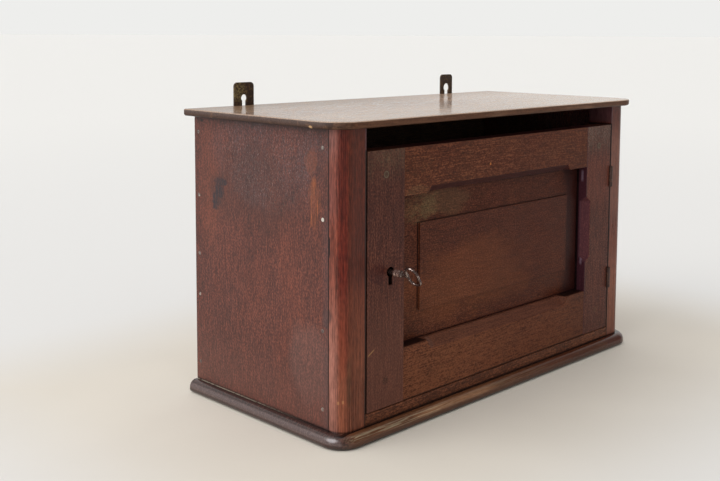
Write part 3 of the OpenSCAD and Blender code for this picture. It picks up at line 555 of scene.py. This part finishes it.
# Nails in the sides
# Small flat-headed wire nails driven through the side boards, set level and later filled with
# grey wax, so most show as dull grey dots and some as dark ones.
class Metal(Surface):
    """Old metal with a dark skin that is rubbed through in places."""

    def __init__(self, name, seed, dark, bare, share=0.4, metal=0.9, gloss=0.42):
        super().__init__(name, seed)
        mottle = self.noise(420, 1.0, 4, 0.6, 1)
        specks = self.noise(1500, 1.0, 3, 0.2, 2)
        rubbed = (0.65 * mottle + 0.35 * specks).step(0.60 - share * 0.25, 0.68 - share * 0.18)
        self.colour = self.blend(rubbed, linear(*dark), linear(*bare))
        self.rough = gloss + 0.22 * (mottle - 0.5) - 0.10 * rubbed
        self.metal = metal * (0.55 + 0.45 * rubbed)
        self.height = 0.6 * mottle + 0.4 * specks

    def close(self, relief=0.08):
        self.end(self.node("BsdfPrincipled", None, {
            "Base Color": self.colour, "Roughness": self.rough, "Metallic": self.metal,
            "Normal": self.bumps(relief)}))


nail_iron = Metal("nail_iron", 31, (104, 90, 84), (168, 158, 148), share=0.5, metal=0.1, gloss=0.6)
nail_iron.tint(nail_iron.noise(9, 1.0, 1, 0.0, 4).step(0.52, 0.58) * 0.6, (58, 44, 42))
wax_filled = nail_iron.band(nail_iron.z, 183, 195, 1) * nail_iron.y.fade(-60, -70)
nail_iron.tint(wax_filled * 0.85, (206, 200, 188))
nail_iron.close()
dress("side_nails", nail_iron)

# Rail under the door
# A narrow oak rail between the posts, level with the foot of the door, with a small block
# nailed on its back that the closing door meets.
rail_wood = Wood("rail_oak", "x", 5, (60, 31, 19), (86, 47, 29), (114, 68, 46),
                 gloss=0.40, streaks=0.26, cloudy=0.1, drawn=0.05)
# Painted shadow along the rail's foot, where it meets the base.
rail_wood.tint(rail_wood.band(rail_wood.z, 8, 13.4, 0.7) * 0.8, (30, 17, 14))
# Painted shade along the rail's top, in the gap under the door.
rail_wood.tint(rail_wood.z.fade(22.2, 22.9) * 0.8, (34, 20, 16))
rail_wood.close(relief=0.1, shine=0.15)
eased("bottom_rail", "carcass", rail_wood, round_mm=0.4)
stop_wood = Wood("stop_oak", "x", 15, (78, 50, 36), (108, 72, 52), (134, 94, 68), gloss=0.55)
stop_wood.close()
eased("door_stop", "carcass", stop_wood, round_mm=0.6)

# Back boards
# Two wide boards of plain wood close the back, the upper one lapped over the lower. They were
# only brushed thinly with stain, so they are paler and duller than the front.
for node, seed in (("back_upper", 6), ("back_lower", 16)):
    board_low, board_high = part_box(node)
    back_wood = Wood(node + "_wood", "x", seed, (84, 58, 40), (114, 82, 58), (142, 108, 78),
                     gloss=0.62, streaks=0.3)
    back_wood.haze((132, 118, 100), 0.4)
    # Painted shade: the inner face is darker.
    back_wood.tint(back_wood.y.fade(90, 87.5) * 0.75, (56, 36, 33))
    back_wood.wear(board_low, board_high, (64, 46, 36), reach=3.0, share=0.5)
    back_wood.close(relief=0.3)
    eased(node, "carcass", back_wood)

# Top board
# A thin oak board that reaches over the front and the sides, with round front corners. It is
# waxed, so the pale wall shines in it, and its edge is rubbed to a grey brown. Its right part is
# painted paler as a reflection of the wall, the upper line of its edge has a painted highlight
# and its underside painted shade.
top_wood = Wood("top_oak", "x", 7, (92, 60, 40), (122, 84, 56), (156, 114, 80),
                gloss=0.42, streaks=0.36, cloudy=0.2, drawn=0.08)
top_wood.haze((160, 138, 116), 0.32)
# Painted reflection: the top is paler towards the right, where the wall shines in it more.
right_part = top_wood.x.fade(-40, 190)
top_wood.tint(right_part * 0.5, (188, 164, 142))
top_wood.tint(top_wood.y.fade(20, -80) * 0.4, (188, 166, 146))
top_back = top_wood.y.fade(20, 95)
top_wood.tint(top_back * 0.35, (112, 84, 64))
back_left = top_wood.y.fade(-20, 60) * top_wood.x.fade(60, -80)
top_wood.tint(back_left * 0.4, (108, 84, 48))
top_wood.tint(top_wood.y.fade(-98, -107) * 0.15, (104, 74, 58))
rim = top_wood.z.fade(271.2, 270.7)
top_wood.tint(rim * 0.95, (84, 53, 36))
side_rim = rim * top_wood.x.fade(-212, -225)
top_wood.tint(side_rim * 0.95, (74, 55, 47))
top_wood.tint(side_rim * top_wood.z.fade(266, 271.5), (94, 81, 77))
front_corner = top_wood.patch((-222, -103, None), (16, 16, 1), 0.2, 60)
top_wood.tint(rim * front_corner * 0.5, (48, 36, 30))
rim_scuffs = top_wood.noise(120, 0.15, 3, 0.2, 17).step(0.54, 0.68)
top_wood.tint(rim * rim_scuffs * 0.4, (126, 94, 72))
# Painted shade on the underside.
top_wood.tint(top_wood.z.fade(265.9, 265.1) * 0.8, (30, 20, 17))
chip = top_wood.patch((-227, -75.5, 266.2), (4, 2.6, 1.6), 0.1)
top_wood.tint(chip * 0.9, (196, 158, 116))
# Painted highlight along the upper line of the edge.
rim_highlight = top_wood.band(top_wood.z, 270.7, 271.4, 0.3) * (0.75 + 0.25 * right_part)
top_wood.tint(rim_highlight * 0.85, (190, 165, 147))
wax_grain = 1.14 - 0.5 * top_wood.grit - 0.6 * top_wood.fibres
wax_coat = (1.0 - rim) * wax_grain * (1.0 - 0.34 * top_back + 0.13 * right_part)
top_wood.close(relief=0.05, shine=0.1, coat=wax_coat, grain=0.9)
eased("top_board", "carcass", top_wood, round_mm=0.6)

# Brads, screws and nails out of sight
# Punched brads hold the top, screws come up through the base and nails hold the door stop. All
# are plain iron gone dark.
dark_iron = Metal("dark_iron", 32, (38, 33, 31), (96, 88, 82), share=0.3, metal=0.8, gloss=0.5)
dark_iron.close()
for node in ("top_brads", "base_screws", "stop_nails", "hanger_screws"):
    dress(node, dark_iron)

# Hanging plates
# Two brass plates let into the back and screwed there. Their round holes with a narrow neck
# hang on wall screws. The brass is nearly black, with olive gold where the skin wore through.
plate_brass = Metal("plate_brass", 33, (56, 40, 32), (108, 84, 56), metal=0.6, gloss=0.46)
rubbed_plate = plate_brass.patch((-162, None, 284), (9, 1, 11), 0.5, 260)
gold_specks = plate_brass.noise(900, 1.0, 3, 0.2, 5).step(0.44, 0.60)
plate_brass.tint(rubbed_plate * gold_specks * 0.7, (158, 142, 92))
plate_brass.close(relief=0.15)
for node in ("hanger_plate_left", "hanger_plate_right"):
    dress(node, plate_brass)

# Door frame
# Two upright stiles and two rails of oak, tenoned together and pegged. The inner edges of the
# rails and of the right stile are chamfered and stopped short of the corners.
# Where the front faces and the chamfers set in, as places along y in mm
door_front = (-96, -98.5)
chamfer_front = (-99.85, -99.5)
for node, seed in (("door_left_stile", 8), ("door_right_stile", 18)):
    piece_low, piece_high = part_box(node)
    stile_wood = Wood(node + "_oak", "z", seed, (54, 27, 21), (78, 40, 31), (106, 62, 48),
                      gloss=0.42, streaks=0.2, cloudy=0.08, drawn=0.08)
    outer = stile_wood.y.fade(*door_front)
    if node == "door_left_stile":
        stile_wood.tint(stile_wood.z.fade(150, 70) * 0.6, (98, 61, 49))
        stile_wood.tint(stile_wood.z.fade(150, 200) * 0.25, (50, 26, 20))
        stile_wood.haze((100, 86, 64), 0.6, stile_wood.z.fade(212, 238) * outer)
        key_shade = stile_wood.patch((-172, None, 140), (12, 1, 10), 0.4, 70)
        stile_wood.tint(key_shade * 0.45, (58, 24, 24))
        tick_way = stile_wood.z * 0.868 - stile_wood.x * 0.497
        tick_run = stile_wood.band(stile_wood.x, -184, -177, 1)
        tick = stile_wood.band(tick_way, 153.5, 154.7, 0.3) * tick_run
        stile_wood.tint(tick * 0.7, (158, 116, 76))
        # Painted shade along the stile's outer edge, in the gap by the left post.
        stile_wood.tint(stile_wood.x.fade(-185.0, -185.7) * 0.85, (22, 11, 10))
        # Painted shade inside the keyhole.
        keyhole_shade = stile_wood.y.fade(-99.9, -99.6)
        around_key = stile_wood.patch((-157.5, None, 137), (9, 1, 14), 0.0)
        stile_wood.tint(keyhole_shade * around_key * 0.9, (20, 11, 9))
    else:
        stile_wood.haze((112, 98, 86), 0.75, stile_wood.z.fade(205, 240) * outer)
        stile_wood.tint(stile_wood.band(stile_wood.z, 165, 212, 12) * 0.25, (124, 68, 52))
        # Painted shade: the chamfer is darker and purple.
        chamfer = stile_wood.y.fade(*chamfer_front) * stile_wood.x.fade(153, 151)
        stile_wood.tint(chamfer * 0.7, (80, 40, 50))
        # Painted shade on the recess wall, darkest deep in the groove.
        recess = stile_wood.x.fade(142.4, 141.8)
        stile_wood.tint(recess * 0.75, (62, 32, 42))
        upper_end = stile_wood.band(stile_wood.z, 188, 199, 2)
        lower_end = stile_wood.band(stile_wood.z, 99, 105, 2)
        gleam = recess * stile_wood.band(stile_wood.y, -96, -93.4, 0.8) * (upper_end + lower_end)
        stile_wood.tint(gleam * 0.55, (140, 116, 132))
        # Painted shade deep in the recess.
        stile_wood.tint(recess * stile_wood.y.fade(-91.2, -90.2) * 0.9, (14, 7, 8))
        # Painted shade along the stile's outer edge, in the gap by the hinges.
        stile_wood.tint(stile_wood.x.fade(185.0, 185.6) * 0.75, (34, 19, 17))
    stile_wood.wear(piece_low, piece_high, (102, 76, 62), reach=1.0, share=0.1)
    stile_wood.close(relief=0.14, shine=0.14)
    eased(node, "door", stile_wood, round_mm=0.25)
rails = (("door_top_rail", 9, (84, 41, 25)), ("door_bottom_rail", 19, (104, 59, 38)))
for node, seed, middle in rails:
    piece_low, piece_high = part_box(node)
    rail_oak = Wood(node + "_oak", "x", seed, (64, 31, 19), middle, (112, 65, 43),
                    gloss=0.42, streaks=0.26, cloudy=0.14, drawn=0.05)
    rail_oak.haze((94, 66, 42), 0.25)
    rail_oak.tint(rail_oak.x.fade(-80, 60) * 0.35, (70, 27, 11))
    chamfer = rail_oak.y.fade(*chamfer_front)
    if node == "door_top_rail":
        # Painted shade: the chamfer faces down and is darker and purple.
        rail_oak.tint(chamfer * 0.75, (52, 28, 32))
        bright_spot = rail_oak.patch((-22.3, None, 220.8), (1.3, 1, 1.3), 0.1)
        rail_oak.tint(bright_spot * 0.8, (190, 116, 58))
        outer = rail_oak.y.fade(*door_front)
        dusty = rail_oak.patch((-124, None, 203), (18, 1, 9), 0.5, 70) * outer
        rail_oak.haze((104, 90, 62), 0.7, dusty, size=900)
    else:
        rail_oak.tint(rail_oak.x.fade(85, 150) * 0.3, (54, 28, 22))
        rail_oak.tint(chamfer * 0.5, (88, 54, 44))
        chamfer_end = rail_oak.patch((-104, None, 66), (8, 1, 5), 0.2, 120)
        rail_oak.tint(chamfer * chamfer_end * 0.3, (96, 72, 64))
        # Painted shade on the rail's flat top beneath the panel, where no chamfer is cut.
        flat_top = rail_oak.z.fade(69.2, 69.7) * rail_oak.y.fade(-98.4, -97.2)
        plain_ends = rail_oak.x.size().fade(107, 109.5)
        rail_oak.tint(flat_top * plain_ends * 0.9, (20, 9, 9))
        # Painted shade along the rail's foot, in the gap under the door.
        rail_oak.tint(rail_oak.z.fade(24.4, 23.4) * 0.75, (36, 20, 17))
    rail_oak.wear(piece_low, piece_high, (110, 78, 58), reach=1.0, share=0.1)
    rail_oak.close(relief=0.14, shine=0.1)
    eased(node, "door", rail_oak, round_mm=0.25)

# Door panel
# A solid oak panel with a raised field, held loose in grooves of the frame. Its border has
# gathered grey-green dust at the upper left.
panel_wood = Wood("panel_oak", "x", 10, (54, 25, 16), (76, 36, 23), (102, 56, 38),
                  gloss=0.42, streaks=0.14, cloudy=0.12, drawn=0.08)
orange_cloud = panel_wood.patch((-40, None, 114), (100, 1, 42), 0.6, 24)
panel_wood.tint(orange_cloud * 0.4, (118, 66, 38))
panel_wood.haze((88, 60, 38), 0.25)
panel_wood.tint(panel_wood.x.fade(-80, 60) * 0.35, (64, 23, 10))
panel_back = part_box("door_panel")[1][1]
outer = panel_wood.y.step(panel_back - 0.3 * mm, panel_back - 0.9 * mm)
dull_cloud = panel_wood.patch((-72, None, 190), (38, 1, 15), 0.5, 60)
panel_wood.tint(dull_cloud * outer * 0.25, (102, 82, 58))
dusty = panel_wood.patch((-112, None, 190), (40, 1, 14), 0.8, 70) * outer
panel_wood.haze((122, 106, 72), 0.7, dusty, size=900)
grey_spot = panel_wood.patch((-137, None, 170), (2.6, 1, 3.4), 0.2)
panel_wood.tint(grey_spot * 0.5, (104, 104, 86))
field_upright = panel_wood.band(panel_wood.z, 97, 176.4, 0.4)
field_across = panel_wood.band(panel_wood.x, -114, 114.6, 0.4)
left_line = panel_wood.band(panel_wood.x, -115.1, -114.0, 0.3) * field_upright
panel_wood.tint(left_line * 0.95, (18, 9, 8))
upper_line = panel_wood.band(panel_wood.z, 175.9, 176.8, 0.3) * field_across
panel_wood.tint(upper_line * 0.6, (34, 19, 16))
lower_line = panel_wood.band(panel_wood.z, 96.3, 96.9, 0.3) * field_across
panel_wood.tint(lower_line * 0.35, (38, 21, 17))
# Painted shade on the panel's right border, next to the stile.
panel_wood.tint(panel_wood.x.fade(108, 122) * outer * 0.8, (40, 18, 18))
foot_shade = panel_wood.z.fade(71.8, 70.6)
panel_wood.tint(foot_shade * 0.75, (28, 13, 14))
head_shade = panel_wood.z.fade(199.5, 202.2) * panel_wood.x.fade(-60, 60)
panel_wood.tint(head_shade * 0.7, (36, 19, 21))
panel_wood.close(relief=0.14, shine=0.1)
eased("door_panel", "door", panel_wood, round_mm=0.35)

# Pegs
# Four round oak pegs lock the tenons. Their end grain soaked up more stain at the rim, so each
# shows as a thin ring.
def from_peg(value, low, high):
    """Distance from the middle of the nearest of two pegs, along one axis."""
    return (value - (low + high) / 2).size() - ((high - low) / 2 - peg_radius)


peg_low, peg_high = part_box("door_pegs")
peg_radius = 3.4 * mm
peg_wood = Wood("peg_oak", "y", 20, (58, 34, 27), (84, 51, 40), (110, 72, 55), streaks=0.05)
out_x = from_peg(peg_wood.x, peg_low[0], peg_high[0])
out_z = from_peg(peg_wood.z, peg_low[2], peg_high[2])
from_middle = (out_x ** 2 + out_z ** 2) ** 0.5
upper_peg = peg_wood.z.fade(140, 200)
peg_wood.tint(upper_peg * 0.6, (70, 58, 46))
peg_wood.tint(peg_wood.band(from_middle, 2.2, 2.9, 0.25) * upper_peg * 0.4, (128, 116, 94))
peg_wood.tint(from_middle.fade(2.9, 3.3) * upper_peg * 0.5, (36, 24, 20))
peg_wood.close(relief=0.14, shine=0.14)
dress("door_pegs", peg_wood)

# Hinges
# Two small brass butt hinges, let into the right post and the door's right edge. Their knuckles
# stand out at the front and are dark with old polish.
hinge_heights = (78, 189)
hinge_brass = Metal("hinge_brass", 34, (64, 41, 35), (104, 76, 56), share=0.3, metal=0.5, gloss=0.5)
for height in hinge_heights:
    far_out = (hinge_brass.z - height * mm).size()
    hinge_brass.tint(hinge_brass.band(far_out, 6.5, 11.5, 1.0) * 0.4, (32, 20, 18))
hinge_brass.close()
for place in ("upper", "lower"):
    for leaf in ("_hinge_post_leaf", "_hinge_door_leaf"):
        dress(place + leaf, hinge_brass)
    dress(place + "_hinge_pin", dark_iron)
for node in ("hinge_post_screws", "hinge_door_screws"):
    dress(node, hinge_brass)

# Lock
# An iron plate on the door's edge and a flat iron case behind the stile, held by screws. The
# steel bolt and its spring slide in it.
lock_iron = Metal("lock_iron", 35, (58, 50, 46), (128, 120, 112), share=0.45, gloss=0.4)
lock_iron.close()
bolt_steel = Metal("bolt_steel", 36, (112, 104, 98), (186, 180, 172),
                   share=0.7, metal=1.0, gloss=0.32)
bolt_steel.close()
for node in ("lock_plate", "lock_case", "lock_screws"):
    dress(node, lock_iron)
for node in ("lock_bolt", "lock_spring"):
    dress(node, bolt_steel)

# Key
# A cabinet key of drawn steel with turned rings on its stem and an oval wire bow. It is dark
# with age and bright where fingers rub it.
key_steel = Metal("key_steel", 37, (74, 56, 52), (176, 160, 152),
                  share=0.45, metal=1.0, gloss=0.26)
# Painted highlight: the turned rings are paler and pinker.
beads = key_steel.band(key_steel.y, -112.6, -104.2, 0.4)
key_steel.tint(beads * 0.5, (168, 132, 122))
# Grime with painted shade: the stem is darker where it meets the door.
key_steel.tint(key_steel.y.fade(-105.0, -103.6) * 0.7, (44, 32, 31))
key_steel.close(relief=0.05)
dress("key", key_steel)
